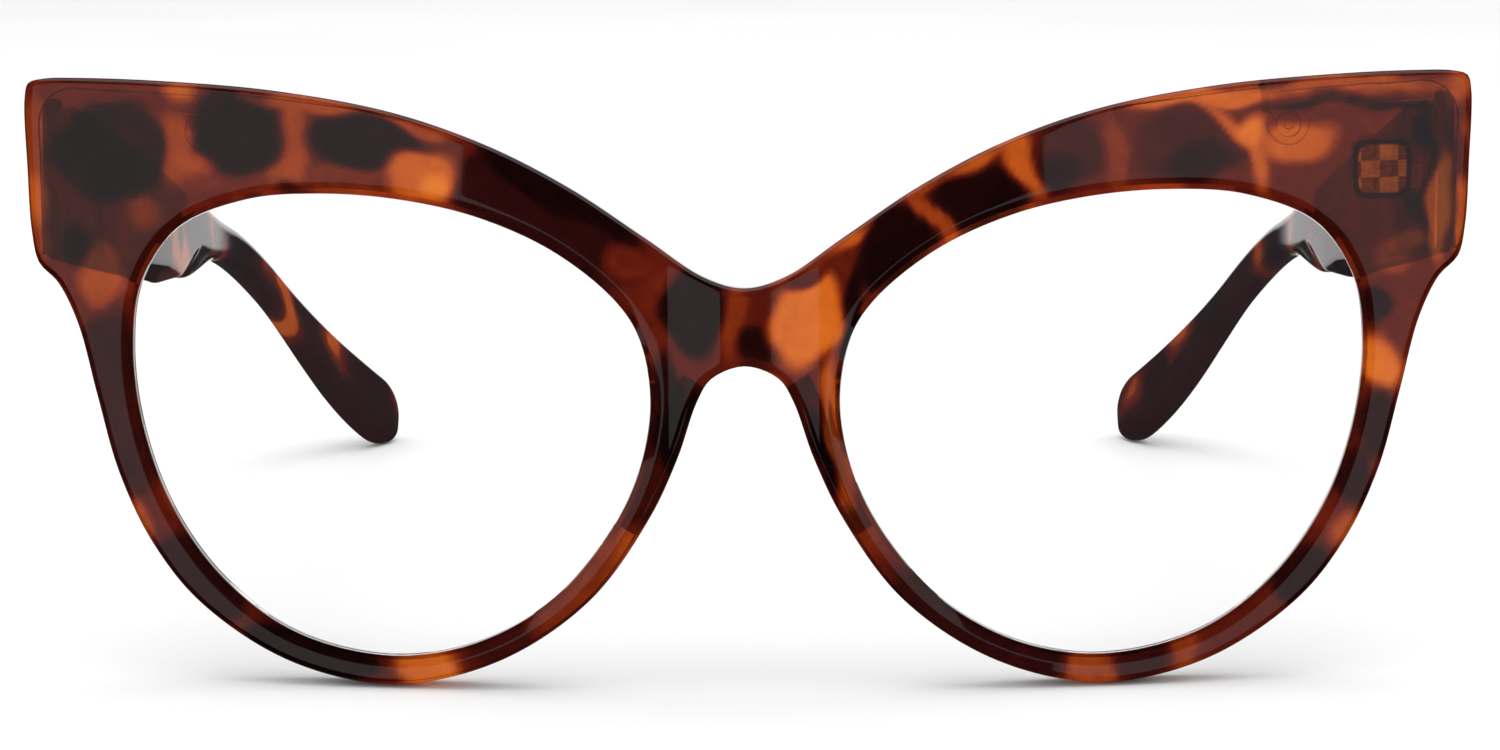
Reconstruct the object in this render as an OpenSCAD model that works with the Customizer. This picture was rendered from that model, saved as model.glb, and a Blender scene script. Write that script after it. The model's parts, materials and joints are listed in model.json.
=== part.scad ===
// Glasses with an upswept plastic front, two folding temples and embedded three-knuckle hinges.
// +X is the wearer's left, Y runs back along the temples, Z is up, and the glasses stand open on Z = 0.
// Each part is drawn with the front upright, then the whole is leaned back onto its temple tips.

/* [Front] */
// Overall width across the end pieces
frame_w = 150; // [146:0.5:154]
// Height of the front
frame_h = 62.3; // [60:0.1:64]
// Thickness of the front, front face to back face
front_t = 4.4; // [4:0.1:5]
// Radius of the wrap of the front around the face
wrap_r = 225; // [200:5:300]
// Height by which the bridge stands forward of the rims
bridge_bulge = 1.3; // [0.8:0.1:1.6]
// Width of the bevel around each lens opening
inner_bevel = 1.2; // [0.8:0.1:1.4]

/* [Lenses] */
// Thickness of a lens
lens_t = 2.2; // [2:0.1:2.4]
// Crown of a lens beyond the wrap of the front
lens_crown = 1.2; // [0.8:0.1:1.4]

/* [Hinges] */
// Outer radius of a knuckle
knuckle_r = 1.4; // [1.3:0.05:1.4]
// Radius of the hole through the knuckles
bore_r = 0.75; // [0.7:0.05:0.8]
// Radial clearance of the screw in the knuckles
screw_gap = 0.05; // [0.02:0.01:0.08]

/* [Temples] */
// Downward angle of the temples against the upright front
panto = 10.5; // [9:0.5:12]
// Height of a temple at the hinge
temple_h = 16.8; // [16:0.1:17]
// Thickness of a temple
temple_t = 3.3; // [3:0.1:3.6]
// Length from the hinge to the bend over the ear
straight_len = 85; // [81:1:89]
// Angle of the bend over the ear
bend_angle = 19; // [16:1:22]
// Radius of the bend over the ear
bend_r = 64; // [56:1:72]
// Length of the tip behind the bend
tip_len = 36; // [33:1:39]
// Height of the tip near its end
tip_h = 10; // [9:0.5:12]
// Distance by which the tip bows inwards
tip_bow = 14.4; // [13:0.2:16]
// Angle by which the left temple stands further in than the right one
left_toe_in = 1.1; // [0:0.1:1.8]

/* [Hidden] */

eps = 0.01;
sx = frame_w / 150;
sz = frame_h / 62.3;

// Lens opening, clockwise from beside the bridge: x, z
OPENING = [[13.1, 39.4], [19.3, 44.4], [27, 47.9], [35, 49.75], [43.5, 50.4], [51.2, 49.8],
           [58.5, 46.9], [62.4, 41.4], [63.4, 34.5], [62.4, 26.2], [59.4, 18], [54.1, 10.7],
           [46.6, 5.3], [36.7, 3], [28, 4.3], [20.4, 8.4], [14.7, 14.6], [11.1, 21.3], [9.6, 29],
           [10.7, 35.6]];

// The +X half of the outline from the middle of the top: x, z, and the place on the opening across from it
OUTLINE = [[0, 40.7, -0.35], [4.1, 41.8, -0.15], [10.1, 45.8, 0.15], [17.6, 50.8, 1.2],
           [26.1, 55.2, 1.95], [36, 58.65, 3], [48, 60.9, 4.4], [60, 62, 5.3], [69, 62.4, 5.9],
           [73, 62.35, 6.1], [74.6, 61.9, 6.18], [75, 60.3, 6.25], [74.75, 53, 6.45],
           [74.35, 46.5, 6.75], [73.6, 43.3, 7], [71.5, 41.2, 7.15], [69.4, 37, 7.6],
           [67.4, 29.5, 8.5], [65.2, 21.6, 9.4], [61.7, 14.3, 10.2], [56.6, 8.1, 11],
           [47.1, 2.15, 12.1], [36.2, 0, 13.05], [25.4, 2.5, 14.2], [16, 8.8, 15.35],
           [9.9, 17.1, 16.4], [6.9, 23.4, 17.35], [4.9, 29.1, 18.1], [3.4, 31.5, 18.6],
           [0, 32.8, 18.9]];

// Centre line of the return wall behind an end piece, from over the lens round to the lower end: x, z
RETURN_WALL = [[53.5, 59.1], [60, 59.7], [67, 60.1], [70.9, 60.1], [72.3, 58.6], [72.3, 54],
               [72.2, 48.5], [72.1, 44]];

outline_step = 2.2;
bridge_rows = 5;
edge_r = 0.7;
groove_d = 0.8;
wall_t = 2.1;
hinge_x = 69.3 * sx;
hinge_z = 52.5 * sz;
hinge_stand = 3.4;
hinge_y = front_y(hinge_x, hinge_z) + front_t + hinge_stand;
hinge_mid = [50.1, 54.8] - [52.5, 52.5];
hinge_low = -5.3;
hinge_top = 5.7;
knuckle_gap = 0.05;
butt_gap = 0.06;
foot = [6, 2, 5.3];
screw_r = bore_r - screw_gap;
temple_top = hinge_z + 7.7;
temple_out = hinge_x + 3.8;
splay = 1.8;
tip_end = 5.2;
core_r = 0.65;

function smooth(t) = let (c = min(max(t, 0), 1)) c * c * (3 - 2 * c);
function lerp(a, b, t) = a + (b - a) * t;
function gap2(a, b) = norm([a.x - b.x, a.y - b.y]);

// Centripetal Catmull-Rom curve between b and c
function spline(a, b, c, d, f) = let (
    t1 = sqrt(gap2(a, b)), t2 = t1 + sqrt(gap2(b, c)), t3 = t2 + sqrt(gap2(c, d)),
    t = lerp(t1, t2, f),
    p = (a * (t1 - t) + b * t) / t1,
    q = (b * (t2 - t) + c * (t - t1)) / (t2 - t1),
    r = (c * (t3 - t) + d * (t - t2)) / (t3 - t2),
    u = (p * (t2 - t) + q * t) / t2,
    v = (q * (t3 - t) + r * (t - t1)) / (t3 - t1)
) (u * (t2 - t) + v * (t - t1)) / (t2 - t1);

function left_normal(d) = [-d.y, d.x] / norm([d.x, d.y]);

// A place on the lens opening, where u counts along OPENING
function opening(u) = let (n = len(OPENING), i = floor(u), f = u - i)
    spline(OPENING[(i - 1 + n) % n], OPENING[(i + n) % n], OPENING[(i + 1 + n) % n],
           OPENING[(i + 2 + n) % n], f);
function opening_normal(u) = left_normal(opening(u + eps) - opening(u - eps));

// A place on the outline, where i is the stretch and f the part of it
function outline(i, f) = let (
    n = len(OUTLINE) - 1,
    before = i == 0 ? [-OUTLINE[1].x, OUTLINE[1].y, OUTLINE[1].z] : OUTLINE[i - 1],
    after = i == n - 1 ? [-OUTLINE[n - 1].x, OUTLINE[n - 1].y, OUTLINE[n - 1].z] : OUTLINE[i + 2]
) spline(before, OUTLINE[i], OUTLINE[i + 1], after, f);
function outline_normal(i, f) = left_normal(outline(i, f + eps) - outline(i, f - eps));

// Depth of the front's face behind its foremost line: wrap, bridge and a slight bow from top to bottom
function wrap(x) = pow(max(abs(x) - 8, 0), 2) / (2 * wrap_r);
function bow(z) = pow(z - 35, 2) / 1200;
function bridge(x) = bridge_bulge * (1 - cos(180 * min(abs(x) / 10, 1))) / 2;
function front_y(x, z) = wrap(x) + bow(z) + bridge(x);
function back_y(x, z) = wrap(x) + bow(z) + bridge_bulge + front_t;

// One station of the front: outline point, place on the opening, and outward normal
STATIONS = concat(
    [[OUTLINE[0].x, OUTLINE[0].y, OUTLINE[0].z, [0, 1]]],
    [for (i = [0:len(OUTLINE) - 2])
        let (n = max(2, round(gap2(OUTLINE[i], OUTLINE[i + 1]) / outline_step)))
            for (j = [(i == 0 ? 1 : 0):n - 1])
                let (p = outline(i, j / n)) [p.x, p.y, p.z, outline_normal(i, j / n)]],
    [let (p = OUTLINE[len(OUTLINE) - 1]) [p.x, p.y, p.z, [0, -1]]],
    [for (k = [1:bridge_rows - 1])
        let (t = lerp(0.12, 0.88, (k - 1) / (bridge_rows - 2)))
            [0, lerp(32.8, 40.7, t), lerp(18.9, 19.65, t), [0, 0]]]
);

function face(p, d) = [p.x * sx, front_y(p.x, p.y) + d, p.y * sz];
function rear(p, d) = [p.x * sx, back_y(p.x, p.y) - d, p.y * sz];

// The closed section of the front at one station, from the opening's front edge round to its groove
function section(s) = let (
    o = [s[0], s[1]], no = s[3], i = opening(s[2]), ni = opening_normal(s[2]),
    r = edge_r * (1 + 0.5 * smooth((14 - s[0]) / 6) * smooth((34 - s[1]) / 4)),
    rr = edge_r * (1 + smooth((s[0] - 26) / 20) * smooth((57 - s[0]) / 4) * smooth((s[1] - 52) / 3)),
    i1 = i + ni * inner_bevel, o1 = o - no * r, b1 = i + ni * 0.5,
    groove = (front_t + bridge_bulge) / 2, m = face(i, groove).y
) [
    face(i, 0.55), face(i1, 0),
    for (t = [0.2, 0.45, 0.7]) face(lerp(i1, o1, t), 0),
    face(o1, 0), face(o - no * 0.3 * r, 0.3 * r), face(o, r),
    rear(o, rr), rear(o - no * 0.3 * rr, 0.3 * rr), rear(o - no * rr, 0),
    rear(lerp(o - no * rr, b1, 0.35), 0), rear(lerp(o - no * rr, b1, 0.7), 0),
    rear(b1, 0), rear(i, 0.5),
    rear(i, front_t / 2 - groove_d), rear(i + ni * groove_d, front_t / 2), rear(i, front_t / 2 + groove_d)
];

// Faces of a tube of rings, closed on itself or capped at both ends
function tube_faces(rings, n, closed) = concat(
    [for (i = [0:rings - (closed ? 1 : 2)]) for (j = [0:n - 1])
        let (a = i * n + j, b = i * n + (j + 1) % n,
             c = ((i + 1) % rings) * n + (j + 1) % n, d = ((i + 1) % rings) * n + j)
            each [[a, b, c], [a, c, d]]],
    closed ? [] : [[for (j = [n - 1:-1:0]) j], [for (j = [0:n - 1]) (rings - 1) * n + j]]
);

module tube(rings, closed = false) {
    n = len(rings[0]);
    polyhedron([for (r = rings) each r], tube_faces(len(rings), n, closed), convexity = 8);
}

module both_sides() {
    children();
    mirror([1, 0, 0]) children();
}

// ---- Front ----

module half_front() {
    tube([for (s = STATIONS) section(s)], true);
}

module return_wall() {
    n = len(RETURN_WALL);
    tube([for (i = [0:n - 1])
        let (p = RETURN_WALL[i], a = RETURN_WALL[max(i - 1, 0)], b = RETURN_WALL[min(i + 1, n - 1)],
             w = left_normal(b - a) * wall_t / 2, o = p + w, q = p - w, y1 = hinge_y - butt_gap)
            [face(o, 2), [o.x * sx, y1, o.y * sz], [q.x * sx, y1, q.y * sz], face(q, 2)]]);
}

// Round pad under the return wall where the moulding was pushed out of its mould
module ejector_pad() {
    p = [55.5, 56.8];
    y0 = back_y(p.x, p.y);
    translate([p.x * sx, y0 - 1, p.y * sz]) rotate([-90, 0, 0]) difference() {
        cylinder(r = 2.1, h = 3, $fn = 32);
        translate([0, 0, 2.5]) cylinder(r = 1.3, h = 1, $fn = 32);
    }
}

module front_shell() {
    resize([frame_w, 0, 0]) union() both_sides() {
        half_front();
        return_wall();
        ejector_pad();
    }
}

// ---- Lenses ----

LENS_RINGS = [0.3, 0.6, 0.84, 0.985];
lens_sides = 64;
lens_mid = [35.5, 27.5];

function lens_edge(j, out) = let (u = len(OPENING) * j / lens_sides)
    opening(u) + opening_normal(u) * out;
function lens_face(j, k, side) = let (p = lerp(lens_mid, lens_edge(j, 0), k))
    [p.x * sx, lens_y(p, k) + side * lens_t / 2, p.y * sz];
function lens_y(p, k) = back_y(p.x, p.y) - front_t / 2 - lens_crown * (1 - k * k);
function lens_rim(j) = let (p = lens_edge(j, groove_d - 0.06))
    [p.x * sx, back_y(p.x, p.y) - front_t / 2, p.y * sz];

module lens() {
    n = lens_sides;
    rings = concat(
        [for (k = LENS_RINGS) [for (j = [0:n - 1]) lens_face(j, k, -1)]],
        [[for (j = [0:n - 1]) lens_rim(j)]],
        [for (i = [len(LENS_RINGS) - 1:-1:0]) [for (j = [0:n - 1]) lens_face(j, LENS_RINGS[i], 1)]]
    );
    hub = [for (side = [-1, 1]) [lens_mid.x * sx, lens_y(lens_mid, 0) + side * lens_t / 2, lens_mid.y * sz]];
    last = (len(rings) - 1) * n;
    m = len(rings) * n;
    polyhedron(
        concat([for (r = rings) each r], hub),
        concat(
            [for (f = tube_faces(len(rings), n, false)) if (len(f) == 3) f],
            [for (j = [0:n - 1]) [m, (j + 1) % n, j]],
            [for (j = [0:n - 1]) [m + 1, last + j, last + (j + 1) % n]]
        ),
        convexity = 4
    );
}

// ---- Nose pads ----

pad_rows = 12;
pad_depth = 5.2;

// A pad follows the nose side of the rim and splays outwards as it goes back
function pad_section(t) = let (
    i = 24, along = lerp(0.75, 3.6, t), q = outline(i + floor(along), along - floor(along)),
    no = outline_normal(i + floor(along), along - floor(along)),
    swell = sqrt(sin(180 * lerp(0.03, 0.97, t))),
    p = [q.x, q.y], d = pad_depth * swell, y0 = back_y(p.x, p.y) - 0.3
) [for (c = [[-0.5, 0], [-0.2, 0.35], [-0.5, 0.75], [-1.2, 0.97], [-1.8, 0.9], [-2.1, 0.6], [-2.3, 0.25],
             [-2.4, 0]])
    let (v = p + no * c[0]) [v.x * sx, y0 + 0.3 * (c[1] > 0 ? 1 : 0) + d * c[1], v.y * sz]];

module nose_pad() {
    tube([for (i = [0:pad_rows - 1]) pad_section(i / (pad_rows - 1))]);
}

// ---- Hinges ----

module knuckle(z0, z1) {
    difference() {
        translate([0, 0, z0]) cylinder(r = knuckle_r, h = z1 - z0, $fn = 48);
        translate([0, 0, z0 - 1]) cylinder(r = bore_r, h = z1 - z0 + 2, $fn = 48);
    }
}

// Cross-cut foot in the end piece, an arm along the plastic, a post and the middle knuckle
module front_leaf() {
    mid = (hinge_mid[0] + hinge_mid[1]) / 2;
    tall = hinge_mid[1] - hinge_mid[0] - 2 * knuckle_gap;
    foot_x = hinge_x - 4.3;
    translate([foot_x, back_y(foot_x, hinge_z), hinge_z + mid]) rotate([0, 0, atan((foot_x - 8) / wrap_r)]) {
        translate([-foot.x / 2, -1.9, -foot.z / 2]) difference() {
            cube(foot);
            for (i = [1, 2]) {
                translate([i * foot.x / 3 - 0.25, -1, -1]) cube([0.5, 1.9, foot.z + 2]);
                translate([-1, -1, i * foot.z / 3 - 0.25]) cube([foot.x + 2, 1.9, 0.5]);
            }
        }
        translate([-1.5, -0.2, -tall / 2]) cube([6.2, 1.2, tall]);
    }
    translate([hinge_x, hinge_y, hinge_z + mid]) {
        difference() {
            translate([-knuckle_r, -hinge_stand - 0.1, -tall / 2])
                cube([2 * knuckle_r, hinge_stand + 0.1, tall]);
            translate([0, 0, -tall]) cylinder(r = bore_r, h = 2 * tall, $fn = 48);
        }
        knuckle(-tall / 2, tall / 2);
    }
}

// Two outer knuckles on a plate sunk in the inner face of the temple
module temple_leaf() {
    plate_x = 1.1;
    plate_t = 1.2;
    translate([hinge_x, hinge_y, hinge_z]) {
        for (z = [[hinge_low, hinge_mid[0]], [hinge_mid[1], hinge_top]]) {
            knuckle(z[0], z[1]);
            difference() {
                translate([0, 0, z[0]]) cube([plate_x + plate_t, 3.6, z[1] - z[0]]);
                translate([0, 0, z[0] - 1]) cylinder(r = bore_r, h = z[1] - z[0] + 2, $fn = 48);
            }
        }
        rotate([-panto, 0, splay]) translate([plate_x, 1.9, -3.6]) cube([plate_t, 9, 7.6]);
    }
}

// Screw with a slotted countersunk head on top
module hinge_screw() {
    head_r = 1.15;
    head_h = 0.6;
    translate([hinge_x, hinge_y, hinge_z]) difference() {
        union() {
            translate([0, 0, hinge_low + 0.3])
                cylinder(r = screw_r, h = hinge_top - hinge_low - 0.3, $fn = 48);
            translate([0, 0, hinge_top + 0.02]) cylinder(r = head_r, h = head_h, $fn = 48);
            translate([0, 0, hinge_top - 0.1]) cylinder(r = screw_r, h = 0.3, $fn = 48);
        }
        translate([-2, -0.15, hinge_top + head_h - 0.28]) cube([4, 0.3, 1]);
    }
}

// ---- Temples ----

bend_len = bend_r * bend_angle * PI / 180;
temple_len = straight_len + bend_len + tip_len;
wide_end = 49;
wide_h = 12.4;
step_h = 10;
shaft_h = 5.2;
shaft_start = 82;
bend_h = 5.3;
bow_start = 76;
tip_start = straight_len + bend_len;

function path_angle(s) = panto + min(max((s - straight_len) / bend_len, 0), 1) * bend_angle;
// Top edge of the temple at a distance s behind the hinge: y, z
function top_edge(s) = let (
    a = min(s, straight_len), b = min(max(s - straight_len, 0), bend_len), c = max(s - tip_start, 0),
    t = panto + b / bend_r * 180 / PI
) [hinge_y + a * cos(panto) + bend_r * (sin(t) - sin(panto)) + c * cos(t),
   temple_top - a * sin(panto) - bend_r * (cos(panto) - cos(t)) - c * sin(t)];
// Height of the outer face: wide part, a slow step down to the shaft, the bend and the tip
function temple_height(s) = lerp(lerp(lerp(lerp(lerp(temple_h, wide_h, min(s / wide_end, 1)),
    step_h, smooth((s - wide_end) / 15)),
    shaft_h, smooth((s - wide_end - 13) / (shaft_start - wide_end - 13))),
    bend_h, smooth((s - straight_len) / bend_len)),
    tip_h, smooth((s - tip_start) / (tip_len - tip_end)));
// The inner face steps down sooner, so the lower edge slants between the two faces
function inner_height(s) = min(temple_height(s), lerp(lerp(lerp(temple_h, wide_h - 1, min(s / 46, 1)),
    shaft_h + 1.2, smooth((s - wide_end - 3) / 14.5)), shaft_h, smooth((s - wide_end - 17) / 19)));
function end_round(s) = sqrt(max(1 - pow(max(s - temple_len + tip_end, 0) / tip_end, 2), 0.02));
function inward(s) = tan(splay) * s + tip_bow * pow(max(s - bow_start, 0) / (temple_len - bow_start), 2);
// The inner face is relieved beside the hinge barrel
function temple_thickness(s) = (temple_t - 1.2 * (1 - smooth((s - 2) / 10))) * (0.35 + 0.65 * end_round(s));
function section_tilt(s) = path_angle(s) * smooth(s / 40);

// Section from its top edge down: rounded corners, with the lower edge slanting from inside to outside
function temple_ring(w, top, low_in, low_out, r, n) = let (slant = atan((low_out - low_in) / (w - 2 * r)))
    [for (q = [0:3]) for (k = [0:n - 1])
        let (a = lerp([0, 90, 180, 270 - slant][q], [90, 180, 270 - slant, 360][q], k / (n - 1)),
             cx = (q == 0 || q == 3 ? 1 : -1) * (w / 2 - r),
             down = [top + r, top + r, low_in - r, low_out - r][q])
            [cx + r * cos(a), down - r * sin(a)]];

function temple_section(s) = let (
    h = temple_height(s), hr = h * end_round(s), t = temple_thickness(s), out = (h + hr) / 2,
    r = lerp(0.5, 0.46 * min(t, hr), smooth((s - 45) / 40)), e = top_edge(s), a = section_tilt(s),
    mid = temple_out - inward(s) - temple_t / 2 + (s < 20 ? (temple_t - t) / 2 : 0)
) [for (p = temple_ring(t, (h - hr) / 2, s < straight_len ? min(inner_height(s), out) : out, out, r, 5))
    [mid + p.x, e[0] - p.y * sin(a), e[1] - p.y * cos(a)]];

TEMPLE_STOPS = concat(
    [0, 1, 2, 4, 6, 8, 10, 12, 16, 22, 28, 34, 38],
    [for (s = [42:2:82]) s],
    [for (k = [0:8]) straight_len + bend_len * k / 8],
    [for (s = [tip_start + 4:4:temple_len - tip_end - 1]) s],
    [for (k = [0:8]) temple_len - tip_end + tip_end * sin(90 * k / 8)]
);

module temple() {
    tube([for (s = TEMPLE_STOPS) temple_section(s)]);
}

function core_section(s) = let (e = top_edge(s), h = temple_height(s), a = path_angle(s))
    [for (k = [0:7]) let (c = core_r * cos(45 * k), d = h / 2 - core_r * sin(45 * k))
        [temple_out - inward(s) - temple_t / 2 + c, e[0] - d * sin(a), e[1] - d * cos(a)]];

module core_wire() {
    tube([for (s = [15:4:temple_len - 9]) core_section(s)]);
}

// ---- Resting attitude ----

// The glasses lean until the temple tips touch the same plane as the rims
rim_foot = [back_y(36.2, 0) - edge_r, 0];
lean = min([for (s = TEMPLE_STOPS) if (s > straight_len) for (p = temple_section(s))
    atan2(p.z - rim_foot[1], p.y - rim_foot[0])]);
rest_z = max([for (s = STATIONS) if (s[1] < 4) for (p = section(s)) p.y * sin(lean) - p.z * cos(lean)]);
front_most = min([for (s = STATIONS) for (p = section(s)) p.y * cos(lean) + p.z * sin(lean)]);
rear_most = max([for (s = TEMPLE_STOPS) for (p = temple_section(s)) p.y * cos(lean) + p.z * sin(lean)]);
rest_y = -(front_most + rear_most) / 2;

module at_rest() {
    translate([0, rest_y, rest_z]) rotate([-lean, 0, 0]) children();
}

module on_right() {
    at_rest() mirror([1, 0, 0]) children();
}

// Turns the left temple and what is fixed in it about the hinge screw
module toed_in() {
    at_rest() translate([hinge_x, hinge_y, 0]) rotate([0, 0, left_toe_in])
        translate([-hinge_x, -hinge_y, 0]) children();
}

echo(lean = lean, rest_y = rest_y, rest_z = rest_z, hinge = [hinge_x, hinge_y, hinge_z]);

module front_frame() { color([0.45, 0.17, 0.07]) at_rest() front_shell(); }
module left_lens() { color([0.9, 0.95, 0.95, 0.4]) at_rest() lens(); }
module right_lens() { color([0.9, 0.95, 0.95, 0.4]) on_right() lens(); }
module left_nose_pad() { color([0.4, 0.14, 0.06]) at_rest() nose_pad(); }
module right_nose_pad() { color([0.4, 0.14, 0.06]) on_right() nose_pad(); }
module left_front_hinge_leaf() { color([0.78, 0.6, 0.3]) at_rest() front_leaf(); }
module right_front_hinge_leaf() { color([0.78, 0.6, 0.3]) on_right() front_leaf(); }
module left_temple_hinge_leaf() { color([0.78, 0.6, 0.3]) toed_in() temple_leaf(); }
module right_temple_hinge_leaf() { color([0.78, 0.6, 0.3]) on_right() temple_leaf(); }
module left_hinge_screw() { color([0.7, 0.7, 0.72]) at_rest() hinge_screw(); }
module right_hinge_screw() { color([0.7, 0.7, 0.72]) on_right() hinge_screw(); }
module left_temple() { color([0.3, 0.12, 0.07]) toed_in() temple(); }
module right_temple() { color([0.3, 0.12, 0.07]) on_right() temple(); }
module left_core_wire() { color([0.65, 0.65, 0.67]) toed_in() core_wire(); }
module right_core_wire() { color([0.65, 0.65, 0.67]) on_right() core_wire(); }

front_frame();
left_lens();
right_lens();
left_nose_pad();
right_nose_pad();
left_front_hinge_leaf();
right_front_hinge_leaf();
left_temple_hinge_leaf();
right_temple_hinge_leaf();
left_hinge_screw();
right_hinge_screw();
left_temple();
right_temple();
left_core_wire();
right_core_wire();
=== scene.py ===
"""Looks for the upswept tortoise glasses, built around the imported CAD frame."""
import json
import math

import bmesh
import bpy
import numpy as np
from mathutils import Matrix, Vector


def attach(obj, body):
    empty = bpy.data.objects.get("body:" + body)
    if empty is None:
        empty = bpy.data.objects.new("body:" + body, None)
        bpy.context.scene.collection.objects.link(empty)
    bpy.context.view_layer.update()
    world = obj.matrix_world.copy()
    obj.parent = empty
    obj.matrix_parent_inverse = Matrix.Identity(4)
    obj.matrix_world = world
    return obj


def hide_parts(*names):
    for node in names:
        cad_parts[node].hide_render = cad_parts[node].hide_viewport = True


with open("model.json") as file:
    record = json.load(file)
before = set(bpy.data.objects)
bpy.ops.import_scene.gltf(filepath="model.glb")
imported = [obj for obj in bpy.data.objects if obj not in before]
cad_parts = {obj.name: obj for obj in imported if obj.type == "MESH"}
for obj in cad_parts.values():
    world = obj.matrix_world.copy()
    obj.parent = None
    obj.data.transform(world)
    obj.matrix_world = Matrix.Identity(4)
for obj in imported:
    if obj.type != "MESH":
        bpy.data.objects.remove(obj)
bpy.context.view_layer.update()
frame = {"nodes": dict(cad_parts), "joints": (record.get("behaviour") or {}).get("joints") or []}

# ---- Sizes in millimetres, as in the CAD model, with the front upright ----

FRAME_W, FRONT_T, WRAP_R, BRIDGE_BULGE, INNER_BEVEL = 150.0, 4.4, 225.0, 1.3, 1.2
LENS_T, LENS_CROWN, EDGE_R, GROOVE_D, GROOVE_GAP, WALL_T, BUTT_GAP = 2.2, 1.2, 0.7, 0.8, 0.06, 2.1, 0.06
HINGE_X, HINGE_Z, HINGE_STAND = 69.3, 52.5, 3.4

# Lens opening, clockwise from beside the bridge: x, z
OPENING = [[13.1, 39.4], [19.3, 44.4], [27, 47.9], [35, 49.75], [43.5, 50.4], [51.2, 49.8], [58.5, 46.9],
           [62.4, 41.4], [63.4, 34.5], [62.4, 26.2], [59.4, 18], [54.1, 10.7], [46.6, 5.3], [36.7, 3],
           [28, 4.3], [20.4, 8.4], [14.7, 14.6], [11.1, 21.3], [9.6, 29], [10.7, 35.6]]

# Outline of the +X half from the middle of the top: x, z, and the place on the opening across from it
OUTLINE = [[0, 40.7, -0.35], [4.1, 41.8, -0.15], [10.1, 45.8, 0.15], [17.6, 50.8, 1.2], [26.1, 55.2, 1.95],
           [36, 58.65, 3], [48, 60.9, 4.4], [60, 62, 5.3], [69, 62.4, 5.9], [73, 62.35, 6.1],
           [74.6, 61.9, 6.18], [75, 60.3, 6.25], [74.75, 53, 6.45], [74.35, 46.5, 6.75], [73.6, 43.3, 7],
           [71.5, 41.2, 7.15], [69.4, 37, 7.6], [67.4, 29.5, 8.5], [65.2, 21.6, 9.4], [61.7, 14.3, 10.2],
           [56.6, 8.1, 11], [47.1, 2.15, 12.1], [36.2, 0, 13.05], [25.4, 2.5, 14.2], [16, 8.8, 15.35],
           [9.9, 17.1, 16.4], [6.9, 23.4, 17.35], [4.9, 29.1, 18.1], [3.4, 31.5, 18.6], [0, 32.8, 18.9]]

RETURN_WALL = [[53.5, 59.1], [60, 59.7], [67, 60.1], [70.9, 60.1], [72.3, 58.6], [72.3, 54],
               [72.2, 48.5], [72.1, 44]]

# Temple: angles in degrees, lengths along it from the hinge
PANTO, TEMPLE_H, TEMPLE_T, STRAIGHT, BEND, BEND_R = 10.5, 16.8, 3.3, 85.0, 19.0, 64.0
TIP_LEN, TIP_H, TIP_BOW, SPLAY, TIP_END = 36.0, 10.0, 14.4, 1.8, 5.2
WIDE_END, WIDE_H, STEP_H, SHAFT_START, SHAFT_H, BEND_H, BOW_START = 49.0, 12.4, 10.0, 82.0, 5.2, 5.3, 76.0
LEFT_TOE_IN = 1.1
TEMPLE_TOP, TEMPLE_OUT = HINGE_Z + 7.7, HINGE_X + 3.8
BEND_LEN = BEND_R * math.radians(BEND)
TIP_START = STRAIGHT + BEND_LEN
TEMPLE_LEN = TIP_START + TIP_LEN


def smooth(t):
    t = min(max(t, 0.0), 1.0)
    return t * t * (3 - 2 * t)


def lerp(a, b, t):
    return a + (b - a) * t


def spline(a, b, c, d, f):
    """A point of the centripetal Catmull-Rom curve between b and c; distances use the first two numbers."""
    a, b, c, d = (np.asarray(p, float) for p in (a, b, c, d))
    t1 = math.sqrt(np.linalg.norm((a - b)[:2]))
    t2 = t1 + math.sqrt(np.linalg.norm((b - c)[:2]))
    t3 = t2 + math.sqrt(np.linalg.norm((c - d)[:2]))
    t = lerp(t1, t2, f)
    p = (a * (t1 - t) + b * t) / t1
    q = (b * (t2 - t) + c * (t - t1)) / (t2 - t1)
    r = (c * (t3 - t) + d * (t - t2)) / (t3 - t2)
    u = (p * (t2 - t) + q * t) / t2
    v = (q * (t3 - t) + r * (t - t1)) / (t3 - t1)
    return (u * (t2 - t) + v * (t - t1)) / (t2 - t1)


def left_normal(d):
    return np.array([-d[1], d[0]]) / math.hypot(d[0], d[1])


def opening(u):
    n, i = len(OPENING), math.floor(u)
    return spline(OPENING[(i - 1) % n], OPENING[i % n], OPENING[(i + 1) % n], OPENING[(i + 2) % n], u - i)


def opening_normal(u):
    return left_normal(opening(u + 0.01) - opening(u - 0.01))


def outline(i, f):
    n = len(OUTLINE) - 1
    flip = lambda p: [-p[0], p[1], p[2]]
    before = flip(OUTLINE[1]) if i == 0 else OUTLINE[i - 1]
    after = flip(OUTLINE[n - 1]) if i == n - 1 else OUTLINE[i + 2]
    return spline(before, OUTLINE[i], OUTLINE[i + 1], after, f)


def outline_normal(i, f):
    return left_normal(outline(i, f + 0.01) - outline(i, f - 0.01))


def front_y(x, z):
    x = abs(x)
    return (max(x - 8, 0) ** 2 / (2 * WRAP_R) + (z - 35) ** 2 / 1200
            + BRIDGE_BULGE * (1 - math.cos(math.pi * min(x / 10, 1))) / 2)


def back_y(x, z):
    return max(abs(x) - 8, 0) ** 2 / (2 * WRAP_R) + (z - 35) ** 2 / 1200 + BRIDGE_BULGE + FRONT_T


HINGE_Y = front_y(HINGE_X, HINGE_Z) + FRONT_T + HINGE_STAND

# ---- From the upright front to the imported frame: the left hinge's axis and place give the lean ----

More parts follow.
